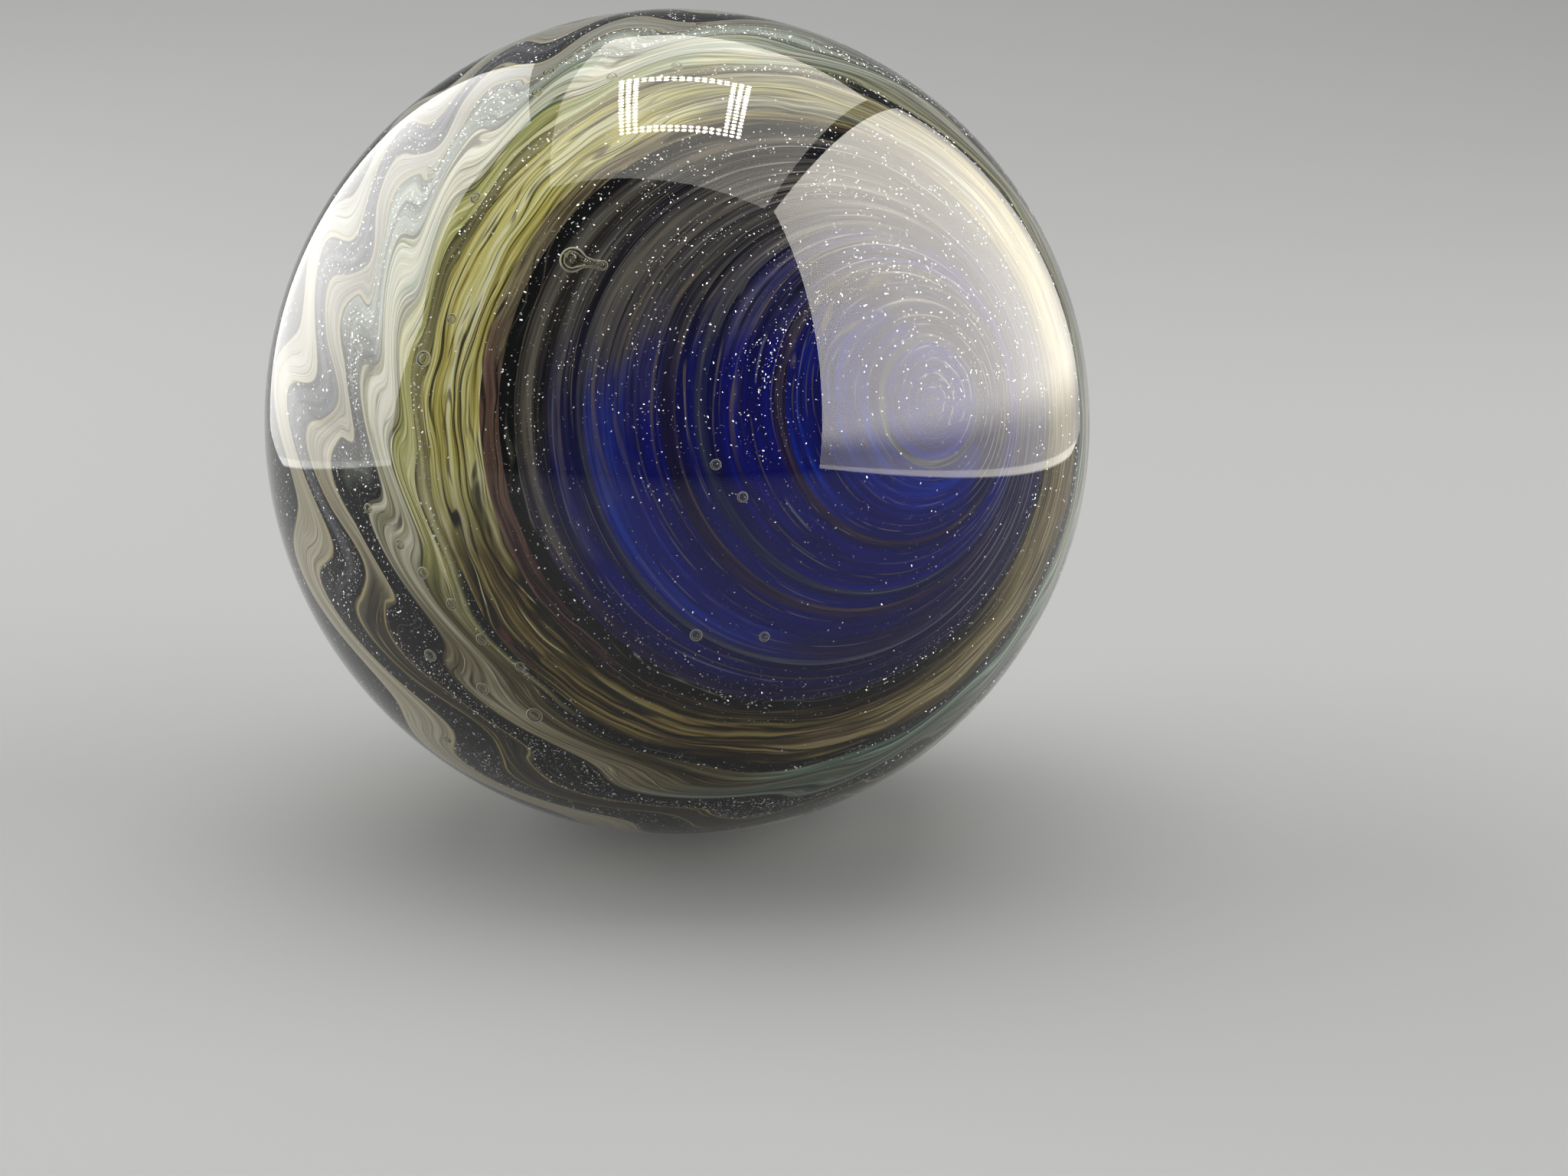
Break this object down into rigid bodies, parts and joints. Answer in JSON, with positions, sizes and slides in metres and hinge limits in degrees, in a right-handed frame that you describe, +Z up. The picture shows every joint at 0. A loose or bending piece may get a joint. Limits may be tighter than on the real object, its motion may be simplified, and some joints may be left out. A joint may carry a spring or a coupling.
{
  "type": "glass marble",
  "caption": "Large round decorative glass marble: clear casing over a dark ball with a ringed blue eye and raked coloured bands.",
  "frame": {"origin": "centre of the ball", "axes": "+Z up as the marble is shown, -Z through the place where a display ring carries it, -Y to the front, +X to the right; the eye faces the front, turned to the right and lifted a little"},
  "size_m": [0.046, 0.046, 0.046],
  "materials": {
    "clear_glass": "clear, fire-polished, with seed bubbles",
    "dark_glitter_glass": "near-black glass full of fine silver glitter",
    "navy_glass": "deep navy glass with sparse glitter",
    "cobalt_glass": "cobalt to teal blue glass with fine streaks",
    "violet_glass": "thin violet-brown lines",
    "silver_grey_glass": "thin silver-grey lines with dense glitter",
    "amber_glass": "amber-brown streaked glass",
    "gold_glass": "olive-gold streaked glass",
    "green_glass": "leaf-green glass with cream lines",
    "khaki_glass": "khaki opal glass with dark contour lines",
    "cream_glass": "cream opal glass with tan and dark contour lines",
    "sage_glass": "sage green opal glass"
  },
  "bodies": {
    "root": {"clear_casing": "clear_glass", "dark_ground": "dark_glitter_glass", "navy_rings": "navy_glass", "cobalt_rings": "cobalt_glass", "violet_rings": "violet_glass", "silver_rings": "silver_grey_glass", "amber_band": "amber_glass", "gold_band": "gold_glass", "green_band": "green_glass", "khaki_band": "khaki_glass", "cream_bands": "cream_glass", "sage_band": "sage_glass"}
  },
  "joints": []
}
